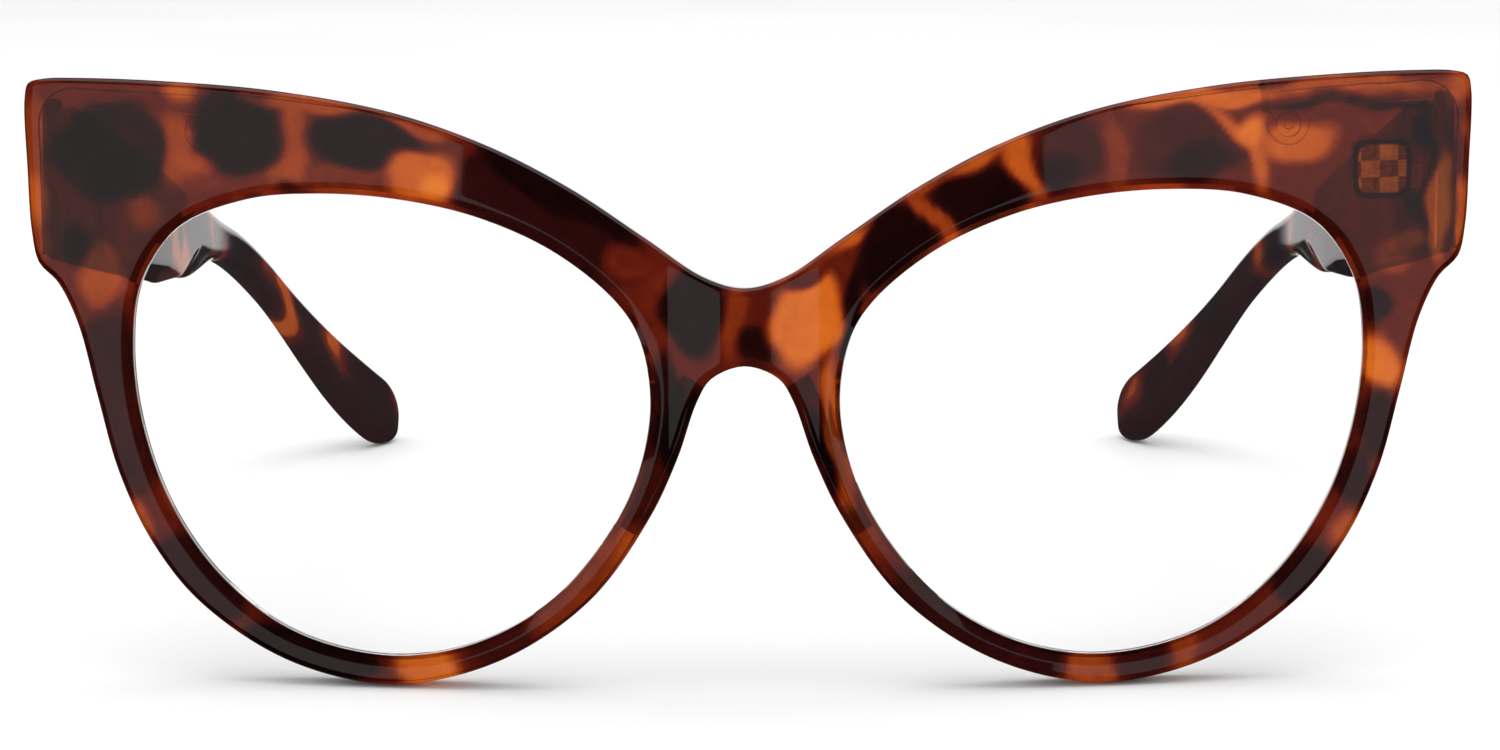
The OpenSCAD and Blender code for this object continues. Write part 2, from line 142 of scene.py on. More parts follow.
hinge = next(j for j in frame["joints"] if j["name"] == "left_temple_fold")
LEAN = math.atan2(hinge["axis"][1], hinge["axis"][2])
REST_Y = hinge["pos_m"][1] * 1000 - (HINGE_Y * math.cos(LEAN) + HINGE_Z * math.sin(LEAN))
REST_Z = hinge["pos_m"][2] * 1000 - (-HINGE_Y * math.sin(LEAN) + HINGE_Z * math.cos(LEAN))


def placed(points):
    p = np.asarray(points, float)
    c, s = math.cos(LEAN), math.sin(LEAN)
    return np.stack([p[:, 0], p[:, 1] * c + p[:, 2] * s + REST_Y, -p[:, 1] * s + p[:, 2] * c + REST_Z], 1) / 1000


# ---- Mesh helpers ----

def tube_faces(rings, n, loop):
    faces = []
    for i in range(rings if loop else rings - 1):
        k = (i + 1) % rings
        faces += [(i * n + j, i * n + (j + 1) % n, k * n + (j + 1) % n, k * n + j) for j in range(n)]
    if not loop:
        faces += [tuple(range(n - 1, -1, -1)), tuple((rings - 1) * n + j for j in range(n))]
    return faces


def new_piece(name, points, faces, angle=30.0, mirrored=False):
    """A closed mesh object from points in the upright front's millimetres."""
    p = np.array(points, float)
    if mirrored:
        p[:, 0] *= -1
    mesh = bpy.data.meshes.new(name)
    mesh.from_pydata(placed(p).tolist(), [], faces)
    bm = bmesh.new()
    bm.from_mesh(mesh)
    bmesh.ops.remove_doubles(bm, verts=bm.verts, dist=1e-7)
    bmesh.ops.recalc_face_normals(bm, faces=bm.faces)
    bm.to_mesh(mesh)
    bm.free()
    obj = bpy.data.objects.new(name, mesh)
    bpy.context.scene.collection.objects.link(obj)
    shade(obj, angle)
    return obj


def shade(obj, angle):
    mesh = obj.data
    mesh.polygons.foreach_set("use_smooth", [True] * len(mesh.polygons))
    mesh.set_sharp_from_angle(angle=math.radians(angle))
    mesh.update()


def settle(obj):
    """Applies an object's modifiers."""
    bpy.context.view_layer.update()
    mesh = bpy.data.meshes.new_from_object(obj.evaluated_get(bpy.context.evaluated_depsgraph_get()))
    obj.modifiers.clear()
    obj.data = mesh


def local_points(obj):
    """The object's points back in the upright front's millimetres."""
    co = np.zeros(len(obj.data.vertices) * 3)
    obj.data.vertices.foreach_get("co", co)
    p = co.reshape(-1, 3) * 1000
    y, z = p[:, 1] - REST_Y, p[:, 2] - REST_Z
    c, s = math.cos(LEAN), math.sin(LEAN)
    return np.stack([p[:, 0], y * c - z * s, y * s + z * c], 1)


# ---- Tortoise pattern ----

# Patches on the front, each over the ones before: x, z, half width, half height, turn in degrees, tone; most are the
# tortoise pattern, and a few by the left hinge are painted shade
FRONT_PATTERN_AND_SHADE = [
    [65, 52, 6, 8, 0, 0.4], [0.5, 37, 2.2, 6, 0, 0.36], [2, 35.5, 2.2, 1.9, 0, 0.08], [6, 38, 3.6, 5.6, 0, 0.84],
    [5.5, 42, 2.8, 1, 20, 0.32], [13, 47.4, 5.5, 1.2, 34, 0.72], [22, 52.6, 5.6, 1.2, 28, 0.72],
    [15.3, 44.4, 5.4, 2.9, 50, 0.03], [10.6, 38, 0.8, 4.4, -10, 0.05], [24, 49.4, 4.8, 3.3, 22, 0.04],
    [19, 47.8, 1, 3.4, 38, 0.6], [28.6, 53, 1.6, 3.6, 25, 0.74], [33, 54.2, 3.2, 4.4, 0, 0.24],
    [32, 51.8, 1.7, 1.5, 0, 0.05], [37.3, 54.3, 1.3, 3.8, 8, 0.5], [45.5, 54.6, 6.6, 3.7, 0, 0.26],
    [46, 53, 3.2, 1.6, 0, 0.1], [46.5, 59.6, 7.4, 1, 5, 0.78], [62, 60.9, 10, 0.9, 2, 0.64],
    [56.5, 55.2, 3.9, 2, 0, 0.74], [49, 56.8, 0.9, 3.8, 52, 0.7], [52.6, 53, 0.9, 3, 15, 0.72],
    # On this line and the next, the dark patches at x 69.3 above and below the left hinge and the thin dark lines at
    # x 70.2 and z 59 along the return wall are painted shade
    [51.6, 56.6, 1.6, 1.6, 0, 0.88], [69.3, 56.3, 0.9, 1.9, 0, 0.08], [69.3, 48, 0.9, 1.7, 0, 0.1],
    [70.2, 51.5, 0.45, 7, 0, 0.1], [62.3, 59, 9, 0.5, 1, 0.12], [71.5, 48.7, 1.2, 5.6, 0, 0.86],
    [74.3, 50, 1, 7, 0, 0.66],
    [73.8, 60.3, 1.6, 1.4, 0, 0.66], [72.7, 55, 1, 3.7, 22, 0.33], [66, 43, 2.2, 1.6, 0, 0.58],
    [68, 44.5, 2.6, 0.8, 10, 0.64], [64.7, 38, 1.5, 1.5, 0, 0.08], [65, 32.6, 2.5, 2.8, 0, 0.86],
    [7.8, 24, 0.8, 4.6, 14, 0.04], [8.9, 27.5, 0.9, 6, 0, 0.7], [10.1, 21, 0.9, 4.4, 18, 0.74],
    [12.4, 15.5, 1.8, 3, 38, 0.46], [19, 8, 6, 2.8, -38, 0.2], [28, 3.6, 6, 3, -12, 0.2],
    [35.6, 1.7, 2.6, 2.6, 0, 0.64], [40.8, 2.6, 2.6, 2.7, 0, 0.22], [44.8, 3.4, 1.4, 2.6, 0, 0.58],
    [50.6, 5.8, 3.4, 2.8, 25, 0.38], [57.4, 10.4, 3, 3.2, 0, 0.1], [60.8, 15.4, 1.8, 1.6, 30, 0.64],
    [62.8, 20.6, 2, 3.6, 20, 0.14], [65, 26, 2, 3.4, 0, 0.14],
    [-20, 48, 11, 5, -30, 0.18], [-19.5, 50.6, 9, 1.8, -31, 0.02], [-12, 43.5, 2.5, 2, 0, 0.44],
    [-8.9, 38, 1.5, 5.5, 0, 0.42], [-4.9, 38, 3.1, 4.4, 0, 0.04], [-0.9, 37.5, 1, 4.5, 0, 0.5],
    [-73.7, 52, 1.5, 9, 0, 0.56], [-73.6, 50, 1, 2.4, 0, 0.74], [-65.6, 55, 5.8, 5.4, 0, 0.09],
    [-62, 61.2, 12, 0.8, 0, 0.42], [-57.5, 60.8, 1.8, 1, 0, 0.74], [-61.6, 48.6, 1.7, 1.7, 0, 0.6],
    [-45, 51.5, 14, 1.9, 0, 0.45], [-46.6, 55, 2.6, 4.3, 0, 0.6], [-52, 56.4, 4.8, 4.4, 0, 0.04],
    [-58.6, 55, 1.5, 3.2, -5, 0.6], [-57, 53, 2.2, 1.1, 0, 0.62], [-40, 58.4, 10.4, 1, -11, 0.62],
    [-38.5, 55.4, 6, 2.6, -8, 0.04], [-45.5, 51, 1.6, 1, 0, 0.1], [-32.6, 52, 3.4, 3, 0, 0.76],
    [-31, 51, 1.5, 1.5, 0, 0.92], [-70, 44.8, 1.6, 1.8, 0, 0.1], [-66.8, 42.2, 2.2, 3, -20, 0.62],
    [-65.6, 33, 3.2, 6, 0, 0.2], [-64.6, 25, 3, 6, 15, 0.22], [-62.6, 17.3, 1.3, 2, 24, 0.68],
    [-56.5, 11, 3, 5.6, 45, 0.13], [-45, 3.2, 7.2, 3, -14, 0.02], [-32.6, 2.2, 3.5, 2.6, 0, 0.84],
    [-25, 4, 3.2, 2.8, 15, 0.24], [-17, 10.6, 2.6, 6.6, -42, 0.48], [-12, 14.6, 1.5, 2.8, -40, 0.64],
    [-6.8, 26, 0.8, 3.6, -14, 0.05], [-8.2, 29, 1.3, 4.4, 0, 0.08],
]

# Patches on a temple: distance behind the hinge, distance below its top edge, half sizes, turn, tone
LEFT_TEMPLE_TONES = [
    [12, 6, 4, 6, 0, 0.05], [29, 10, 3.4, 4, 20, 0.05], [34, 3, 4, 2, 0, 0.05], [5, 5, 2.6, 4, 20, 0.7],
    [17, 11, 4, 2.4, 15, 0.7], [24, 3.5, 2.4, 3, -25, 0.74], [36, 8.6, 4, 1.8, -10, 0.66], [46, 3, 3, 1.6, 20, 0.7],
    [62.5, 7, 0.8, 2, 0, 0.6], [68, 4, 4, 4, 0, 0.05], [75.5, 2.4, 1.7, 2.8, 0, 0.62], [84, 3, 4, 3, 0, 0.05],
    [92.5, 2, 1.5, 2.2, 10, 0.66], [112, 3, 5, 3, 0, 0.05], [121.5, 2, 2.1, 1.9, 0, 0.66],
    [128.5, 4, 3.4, 4, 0, 0.05], [135, 3.8, 1.5, 2.1, 0, 0.62]]
RIGHT_TEMPLE_TONES = [
    [8, 5, 3.4, 5, 0, 0.05], [27, 5, 3.4, 4, 10, 0.05], [41, 8, 4.6, 4, 0, 0.05], [3, 11, 2.2, 3.4, 0, 0.7],
    [14, 4, 4, 2.4, -20, 0.74], [22, 11, 2.2, 3, 30, 0.68], [33, 5, 3, 3.4, 0, 0.7], [51.5, 8.6, 6, 3, 0, 0.72],
    [52, 7.4, 1.3, 1.6, 0, 0.08], [64, 4, 4.5, 5, 0, 0.05], [72, 2.6, 0.9, 3, 0, 0.64], [79.5, 3, 1, 1.8, 0, 0.6],
    [88, 3, 5, 3, 0, 0.05], [99, 1.6, 1.5, 0.9, 20, 0.6], [105.5, 1.4, 2.1, 2.4, 0, 0.74],
    [107, 4.6, 2.3, 2.6, 10, 0.74], [121.5, 3, 1.9, 2.2, 10, 0.74], [133, 4, 4.4, 4.6, 0, 0.05],
    [141.6, 5, 1.7, 4, 0, 0.74]]


def tones(a, b, base, patches):
    """The tone at every point; a patch's edge is one to two millimetres wide."""
    out = np.full_like(a, base)
    for x, z, w, h, turn, tone in patches:
        c, s = math.cos(math.radians(turn)), math.sin(math.radians(turn))
        dx, dz = a - x, b - z
        d = np.hypot((dx * c + dz * s) / w, (-dx * s + dz * c) / h)
        k = np.clip(0.5 + (1 - d) * math.sqrt(w * h) / 1.7, 0, 1)
        out += (tone - out) * k * k * (3 - 2 * k)
    return out


def warped(a, b, size):
    """Moves the pattern's coordinates by slow waves, so that no patch keeps an oval edge."""
    da = size * (np.sin(0.41 * b + 1.7 * np.sin(0.19 * a)) + 0.6 * np.sin(0.93 * b - 0.37 * a))
    db = size * (np.sin(0.37 * a + 1.4 * np.sin(0.23 * b)) + 0.6 * np.sin(0.83 * a + 0.51 * b))
    return a + da, b + db


def paint(obj, tone):
    data = np.ones((len(tone), 4), np.float32)
    data[:, :3] = tone[:, None]
    obj.data.attributes.new("tortoise", "FLOAT_COLOR", "POINT").data.foreach_set("color", data.ravel())


def paint_front(obj):
    p = local_points(obj)
    a, b = warped(p[:, 0], p[:, 2], 0.45)
    paint(obj, tones(a, b, 0.4, FRONT_PATTERN_AND_SHADE))


# ---- Front ----

BRIDGE_ROWS = 14
ACROSS = [0.02] + [k / 24 for k in range(2, 24)]


def face(p, d):
    return [p[0], front_y(p[0], p[1]) + d, p[1]]


def rear(p, d):
    return [p[0], back_y(p[0], p[1]) - d, p[1]]


def front_section(s):
    """The closed section of the front at one station, from the opening's front edge round to its groove."""
    o, no, i, ni = np.array(s[:2]), np.array(s[3]), opening(s[2]), opening_normal(s[2])
    r = EDGE_R * (1 + 0.5 * smooth((14 - s[0]) / 6) * smooth((34 - s[1]) / 4))
    rr = EDGE_R * (1 + smooth((s[0] - 26) / 20) * smooth((57 - s[0]) / 4) * smooth((s[1] - 52) / 3))
    i1, o1, b1 = i + ni * INNER_BEVEL, o - no * r, i + ni * 0.5
    k1 = i + ni * (INNER_BEVEL - 0.12)
    ring = [face(i, 0.55), face(lerp(i, k1, 0.5), 0.3), face(k1, 0.065)]
    ring += [face(lerp(i1, o1, t), 0.006 if t == 0.02 else 0) for t in ACROSS]
    for k in range(7):
        a = math.radians(15 * k)
        ring.append(face(o1 + no * r * math.sin(a), r * (1 - math.cos(a))))
    side0, side1 = front_y(*o) + r, back_y(*o) - rr
    ring += [[o[0], lerp(side0, side1, t), o[1]] for t in (0.33, 0.66)]
    for k in range(6, -1, -1):
        a = math.radians(15 * k)
        ring.append(rear(o - no * rr * (1 - math.sin(a)), rr * (1 - math.cos(a))))
    ring += [rear(lerp(o - no * rr, b1, t), 0) for t in ACROSS]
    m = FRONT_T / 2
    ring += [rear(b1, 0), rear(i + ni * 0.2, 0.14), rear(i, 0.5), rear(i, m - GROOVE_D), rear(i + ni * GROOVE_D, m),
             rear(i, m + GROOVE_D)]
    return ring


def front_stations():
    out = [[OUTLINE[0][0], OUTLINE[0][1], OUTLINE[0][2], (0, 1)]]
    for i in range(len(OUTLINE) - 1):
        n = max(3, round(math.dist(OUTLINE[i][:2], OUTLINE[i + 1][:2]) / 0.7))
        for j in range(1 if i == 0 else 0, n):
            p = outline(i, j / n)
            out.append([p[0], p[1], p[2], outline_normal(i, j / n)])
    last = OUTLINE[-1]
    out.append([last[0], last[1], last[2], (0, -1)])
    for k in range(BRIDGE_ROWS - 1):
        t = lerp(0.14, 0.92, k / (BRIDGE_ROWS - 2))
        out.append([0, lerp(last[1], OUTLINE[0][1], t), lerp(last[2], 20 + OUTLINE[0][2], t), (0, 0)])
    return out


def front_body():
    rings = [front_section(s) for s in front_stations()]
    n = len(rings[0])
    pts = np.array([p for r in rings for p in r], float)
    pts[np.abs(pts[:, 0]) < 1e-6, 0] = 0
    faces = [f for f in tube_faces(len(rings), n, True) if max(pts[k][0] for k in f) > 0]
    other = pts.copy()
    other[:, 0] *= -1
    both = np.vstack([pts, other])
    both[:, 0] *= FRAME_W / 2 / np.abs(both[:, 0]).max()
    faces += [tuple(k + len(pts) for k in reversed(f)) for f in faces]
    return new_piece("front", both, faces)


def wall_piece(name, mirrored):
    """The wall behind an end piece, with softened rear edges."""
    path = [RETURN_WALL[0]] + RETURN_WALL + [RETURN_WALL[-1]]
    path[0] = [2 * path[1][0] - path[2][0], 2 * path[1][1] - path[2][1]]
    path[-1] = [2 * path[-2][0] - path[-3][0], 2 * path[-2][1] - path[-3][1]]
    line = []
    for i in range(1, len(path) - 2):
        n = max(2, round(math.dist(path[i], path[i + 1]) / 0.5))
        line += [spline(path[i - 1], path[i], path[i + 1], path[i + 2], j / n) for j in range(n)]
    line.append(np.array(path[-2], float))
    rings, y1, h, e = [], HINGE_Y - BUTT_GAP, WALL_T / 2, 0.3
    for i, p in enumerate(line):
        w = left_normal(line[min(i + 1, len(line) - 1)] - line[max(i - 1, 0)])
        ring = []
        for side in (1, -1):
            steps = [(0, 0), (0.5, 0), (1, 0)] + [(1, a) for a in (30, 60, 90)]
            part = []
            for t, a in steps:
                q = p + w * side * (h - e * (1 - math.cos(math.radians(a))))
                y = lerp(front_y(*q) + 2, y1 - e, t) + e * math.sin(math.radians(a))
                part.append([q[0], y, q[1]])
            ring += part if side == 1 else part[::-1]
        rings.append(ring)
    return new_piece(name, [q for r in rings for q in r], tube_faces(len(rings), len(rings[0]), False), 35, mirrored)


def ejector_piece(name, mirrored):
    x, z = 55.5, 56.8
    y0, sides = back_y(x, z), 64
    rings = []
    for r, y in ((2.1, -1), (2.1, 1.85), (2.05, 1.96), (1.95, 2), (1.4, 2), (1.32, 1.97), (1.3, 1.9), (1.25, 1.55),
                 (1.15, 1.5), (0.55, 1.5), (0.45, 1.62), (0.3, 1.66), (0.02, 1.66)):
        rings.append([[x + r * math.cos(2 * math.pi * k / sides), y0 + y, z + r * math.sin(2 * math.pi * k / sides)]
                      for k in range(sides)])
    return new_piece(name, [q for r in rings for q in r], tube_faces(len(rings), sides, False), 30, mirrored)


front = front_body()
for mirrored in (False, True):
    for maker, name in ((wall_piece, "wall"), (ejector_piece, "ejector")):
        tool = maker(name, mirrored)
        mod = front.modifiers.new(name, "BOOLEAN")
        mod.operation, mod.solver, mod.object = "UNION", "EXACT", tool
        settle(front)
        bpy.data.objects.remove(tool)
shade(front, 30)
paint_front(front)

# ---- Lenses and nose pads ----


def lens_piece(name, mirrored):
    sides, mid = 160, np.array([35.5, 27.5])
    edge = [opening(len(OPENING) * j / sides) for j in range(sides)]
    norm = [opening_normal(len(OPENING) * j / sides) for j in range(sides)]
    steps = [0.02, 0.1, 0.2, 0.3, 0.4, 0.5, 0.6, 0.7, 0.8, 0.9, 0.998]

    def ring(k, side, half=LENS_T / 2):
        y = side * half - LENS_CROWN * (1 - k * k)
        return [[p[0], back_y(*p) - FRONT_T / 2 + y, p[1]] for p in (lerp(mid, e, k) for e in edge)]

    ridge = [e + n * (GROOVE_D - GROOVE_GAP) for e, n in zip(edge, norm)]
    rim = [[p[0], back_y(*p) - FRONT_T / 2, p[1]] for p in ridge]
    shoulders = [ring(0.9985, side, GROOVE_D - GROOVE_GAP) for side in (-1, 1)]
    rings = [ring(k, -1) for k in steps] + [shoulders[0], rim, shoulders[1]] + [ring(k, 1) for k in reversed(steps)]
    obj = new_piece(name, [q for r in rings for q in r], tube_faces(len(rings), sides, False), 30, mirrored)
    # The four rows of faces from shoulder to shoulder are ground, and take the second material, whose near-black
    # colour is painted shade of the groove
    first, last = (len(steps) - 1) * sides, (len(steps) + 3) * sides
    for polygon in obj.data.polygons:
        polygon.material_index = int(first <= min(polygon.vertices) < last and len(polygon.vertices) == 4)
    return obj


PAD_SHAPE = [[-0.5, -0.12], [-0.2, 0.35], [-0.5, 0.75], [-1.2, 0.97], [-1.8, 0.9], [-2.1, 0.6], [-2.3, 0.25],
             [-2.4, -0.12]]


def pad_piece(name, mirrored):
    rows, rings = 30, []
    for row in range(rows):
        t = row / (rows - 1)
        along = lerp(0.75, 3.6, t)
        i, f = 24 + math.floor(along), along - math.floor(along)
        q, no = outline(i, f)[:2], outline_normal(i, f)
        swell = 5.2 * math.sqrt(math.sin(math.pi * lerp(0.03, 0.97, t)))
        y0 = back_y(*q)
        ring = []
        for a, b in PAD_SHAPE:
            v = q + no * a * lerp(0.72, 1, smooth(t / 0.4))
            ring.append([v[0], y0 - 0.6 if b < 0 else y0 + swell * b, v[1]])
        rings.append(ring)
    obj = new_piece(name, [q for r in rings for q in r], tube_faces(rows, len(PAD_SHAPE), False), 180, mirrored)
    mod = obj.modifiers.new("soft", "SUBSURF")
    mod.levels = mod.render_levels = 2
    settle(obj)
    shade(obj, 60)
    return obj


lenses = {side: lens_piece(side + "_clear_lens", side == "right") for side in ("left", "right")}
pads = {side: pad_piece(side + "_pad", side == "right") for side in ("left", "right")}
for pad in pads.values():
    paint_front(pad)

# ---- Temples ----


def path_angle(s):
    return PANTO + min(max((s - STRAIGHT) / BEND_LEN, 0), 1) * BEND


def top_edge(s):
    a, b, c = min(s, STRAIGHT), min(max(s - STRAIGHT, 0), BEND_LEN), max(s - TIP_START, 0)
    p, t = math.radians(PANTO), math.radians(PANTO) + b / BEND_R
    return (HINGE_Y + a * math.cos(p) + BEND_R * (math.sin(t) - math.sin(p)) + c * math.cos(t),
            TEMPLE_TOP - a * math.sin(p) - BEND_R * (math.cos(p) - math.cos(t)) - c * math.sin(t))


def temple_height(s):
    h = lerp(TEMPLE_H, WIDE_H, min(s / WIDE_END, 1))
    h = lerp(h, STEP_H, smooth((s - WIDE_END) / 15))
    h = lerp(h, SHAFT_H, smooth((s - WIDE_END - 13) / (SHAFT_START - WIDE_END - 13)))
    h = lerp(h, BEND_H, smooth((s - STRAIGHT) / BEND_LEN))
    return lerp(h, TIP_H, smooth((s - TIP_START) / (TIP_LEN - TIP_END)))


def inner_height(s):
    h = lerp(TEMPLE_H, WIDE_H - 1, min(s / 46, 1))
    h = lerp(h, SHAFT_H + 1.2, smooth((s - WIDE_END - 3) / 14.5))
    return min(temple_height(s), lerp(h, SHAFT_H, smooth((s - WIDE_END - 17) / 19)))


def end_round(s):
    return math.sqrt(max(1 - (max(s - TEMPLE_LEN + TIP_END, 0) / TIP_END) ** 2, 0.002))


def inward(s):
    return math.tan(math.radians(SPLAY)) * s + TIP_BOW * (max(s - BOW_START, 0) / (TEMPLE_LEN - BOW_START)) ** 2


def temple_thickness(s):
    return (TEMPLE_T - 1.2 * (1 - smooth((s - 2) / 10))) * (0.35 + 0.65 * end_round(s))


def temple_section(s):
    h, t = temple_height(s), temple_thickness(s)
    hr = h * end_round(s)
    r = lerp(0.5, 0.46 * min(t, hr), smooth((s - 45) / 40))
    ey, ez = top_edge(s)
    a = math.radians(path_angle(s) * smooth(s / 40))
    mid = TEMPLE_OUT - inward(s) - TEMPLE_T / 2 + ((TEMPLE_T - t) / 2 if s < 20 else 0)
    top, low = (h - hr) / 2 + r, (h + hr) / 2 - r
    low_in = min(inner_height(s) - r, low) if s < STRAIGHT else low
    slant = math.degrees(math.atan2(low - low_in, t - 2 * r))
    w = t / 2 - r
    corners = [(w, top, 0, 90), (-w, top, 90, 180), (-w, low_in, 180, 270 - slant), (w, low, 270 - slant, 360)]
    flat = []
    for q, (cx, cy, a0, a1) in enumerate(corners):
        flat += [(cx + r * math.cos(an), cy - r * math.sin(an)) for an in
                 (math.radians(lerp(a0, a1, k / 7)) for k in range(8))]
        nx, ny, b0, _ = corners[(q + 1) % 4]
        start, end = flat[-1], (nx + r * math.cos(math.radians(b0)), ny - r * math.sin(math.radians(b0)))
        n = 16 if q % 2 else 5
        flat += [(lerp(start[0], end[0], k / n), lerp(start[1], end[1], k / n)) for k in range(1, n)]
    return [[mid + x, ey - down * math.sin(a), ez - down * math.cos(a)] for x, down in flat]


def temple_piece(name, mirrored, toe_in, patches):
    stops = list(np.arange(0, TEMPLE_LEN - TIP_END, 0.7))
    stops += [TEMPLE_LEN - TIP_END + TIP_END * math.sin(math.pi / 2 * k / 14) for k in range(15)]
    rings = [temple_section(s) for s in stops]
    n = len(rings[0])
    p = np.array([q for r in rings for q in r])
    c, d = math.cos(math.radians(toe_in)), math.sin(math.radians(toe_in))
    x, y = p[:, 0] - HINGE_X, p[:, 1] - HINGE_Y
    p[:, 0], p[:, 1] = HINGE_X + x * c - y * d, HINGE_Y + x * d + y * c
    obj = new_piece(name, p, tube_faces(len(rings), n, False), 35, mirrored)
    p = local_points(obj)
    s = np.interp(p[:, 1], [top_edge(v)[0] for v in stops], stops)
    down = np.interp(s, stops, [top_edge(v)[1] for v in stops]) - p[:, 2]
    a, b = warped(s, down, 0.7)
    halos = [[x, z, w + 1.8, h + 1.5, turn, 0.36] for x, z, w, h, turn, tone in patches if tone > 0.5]
    paint(obj, tones(a, b, 0.13, halos + patches))
    return obj


temples = {"left": temple_piece("left_arm", False, LEFT_TOE_IN, LEFT_TEMPLE_TONES),
           "right": temple_piece("right_arm", True, 0, RIGHT_TEMPLE_TONES)}

# ---- Materials ----


class Nodes:
    """Short ways to add and join shader nodes."""

    def __init__(self, name):
        self.mat = bpy.data.materials.new(name)
        self.mat.use_nodes = True
        self.tree = self.mat.node_tree
        self.shader = self.tree.nodes["Principled BSDF"]

    def add(self, kind, **values):
        node = self.tree.nodes.new(kind)
        for key, value in values.items():
            if key in node.inputs:
                node.inputs[key].default_value = value
            else:
                setattr(node, key, value)
        return node

    def join(self, a, b):
        self.tree.links.new(a, b)

    def set(self, **values):
        for key, value in values.items():
            self.shader.inputs[key.replace("_", " ")].default_value = value

    def ramp(self, source, stops):
        node = self.add("ShaderNodeValToRGB")
        while len(node.color_ramp.elements) < len(stops):
            node.color_ramp.elements.new(0.5)
        for e, (at, colour) in zip(node.color_ramp.elements, stops):
            e.position, e.color = at, (*colour, 1)
        self.join(source, node.inputs["Fac"])
        return node.outputs["Color"]

    def math(self, operation, a, b):
        node = self.add("ShaderNodeMath", operation=operation)
        for socket, value in zip(node.inputs, (a, b)):
            if isinstance(value, (int, float)):
                socket.default_value = value
            else:
                self.join(value, socket)
        return node.outputs[0]

    def noise(self, scale, detail=3.0, rough=0.5, distort=0.0):
        node = self.add("ShaderNodeTexNoise", Scale=scale, Detail=detail, Roughness=rough, Distortion=distort)
        self.join(self.coords(), node.inputs["Vector"])
        return node.outputs["Fac"]

    def coords(self):
        if not hasattr(self, "_coords"):
            self._coords = self.add("ShaderNodeTexCoord").outputs["Object"]
        return self._coords

    def step(self, value, low, high):
        node = self.add("ShaderNodeMapRange", interpolation_type="SMOOTHSTEP")
        node.inputs["From Min"].default_value, node.inputs["From Max"].default_value = low, high
        self.join(value, node.inputs["Value"])
        return node.outputs["Result"]

    def blend(self, factor, a, b):
        node = self.add("ShaderNodeMix", data_type="FLOAT")
        for socket, value in zip((node.inputs[0], node.inputs[2], node.inputs[3]), (factor, a, b)):
            if isinstance(value, (int, float)):
                socket.default_value = value
            else:
                self.join(value, socket)
        return node.outputs[0]

    def bump(self, height, strength, distance):
        node = self.add("ShaderNodeBump", Strength=strength, Distance=distance)
        self.join(height, node.inputs["Height"])
        self.join(node.outputs["Normal"], self.shader.inputs["Normal"])


# Light that comes through the plastic, from its darkest colour to its clearest amber
TORTOISE = [(0.0, (0.006, 0.0006, 0.0006)), (0.2, (0.026, 0.003, 0.0025)), (0.42, (0.12, 0.01, 0.004)),
            (0.6, (0.31, 0.042, 0.006)), (0.8, (0.62, 0.12, 0.012)), (1.0, (0.88, 0.24, 0.02))]


def tortoise(name, through, painted_foot_light=None):
    """Tortoise plastic; the last argument is the x, z, half width and half height of the square over a hinge foot,
    where a dark ring and checks are painted as the shade and light of the foot's cut metal.
    """
    m = Nodes(name)
    tone = m.add("ShaderNodeAttribute", attribute_name="tortoise").outputs["Fac"]
    if painted_foot_light:
        axes = m.add("ShaderNodeSeparateXYZ")
        m.join(m.coords(), axes.inputs[0])
        u, v = (m.math("DIVIDE", m.math("ABSOLUTE", m.math("SUBTRACT", axes.outputs[k], at), 0), half)
                for k, at, half in ((0, painted_foot_light[0], painted_foot_light[2]), (2, painted_foot_light[1], painted_foot_light[3])))
        far = m.math("POWER", m.math("ADD", m.math("POWER", u, 5), m.math("POWER", v, 5)), 0.2)
        place = m.add("ShaderNodeMapping")
        place.inputs["Scale"].default_value = (510, 0, 590)
        place.inputs["Location"].default_value = (0.14 - 510 * painted_foot_light[0], 0.5, 0.5 - 590 * painted_foot_light[1])
        m.join(m.coords(), place.inputs["Vector"])
        # The checks are painted light and shade: lighter squares for the foot's lit metal, darker ones for shade in
        # its grooves
        painted_checks = m.add("ShaderNodeTexChecker", Scale=1.0)
        m.join(place.outputs["Vector"], painted_checks.inputs["Vector"])
        lit_and_shaded_checks = m.math("ADD", m.blend(painted_checks.outputs["Fac"], 0.34, 0.66), m.math("MULTIPLY", m.noise(900, 2), 0.3))
        # A dark ring of painted shade round the foot's outline, with the painted checks inside it
        tone = m.blend(m.step(far, 1.12, 1.02), tone, 0.1)
        tone = m.blend(m.step(far, 0.94, 0.84), tone, lit_and_shaded_checks)
    for scale, detail, distort, amount in ((230, 4, 0.6, 0.2), (760, 3, 0.4, 0.12), (5200, 1, 0, 0.08)):
        wave = m.math("SUBTRACT", m.noise(scale, detail, 0.55, distort), 0.5)
        tone = m.math("ADD", tone, m.math("MULTIPLY", wave, amount))
    m.join(m.ramp(tone, TORTOISE), m.shader.inputs["Base Color"])
    m.set(Transmission_Weight=through, IOR=1.49, Roughness=0.035)
    m.bump(m.noise(60, 2, 0.4), 0.05, 0.0004)
    return m.mat


def metal(name, dark, light, rough, stretch):
    m = Nodes(name)
    move = m.add("ShaderNodeMapping")
    move.inputs["Scale"].default_value = stretch
    m.join(m.coords(), move.inputs["Vector"])
    grain = m.add("ShaderNodeTexNoise", Scale=900.0, Detail=4.0, Roughness=0.6)
    m.join(move.outputs["Vector"], grain.inputs["Vector"])
    m.join(m.ramp(grain.outputs["Fac"], [(0.3, dark), (0.7, light)]), m.shader.inputs["Base Color"])
    m.set(Metallic=1.0)
    m.join(m.math("ADD", m.math("MULTIPLY", grain.outputs["Fac"], 0.18), rough - 0.09), m.shader.inputs["Roughness"])
    m.bump(grain.outputs["Fac"], 0.25, 0.00004)
    return m.mat


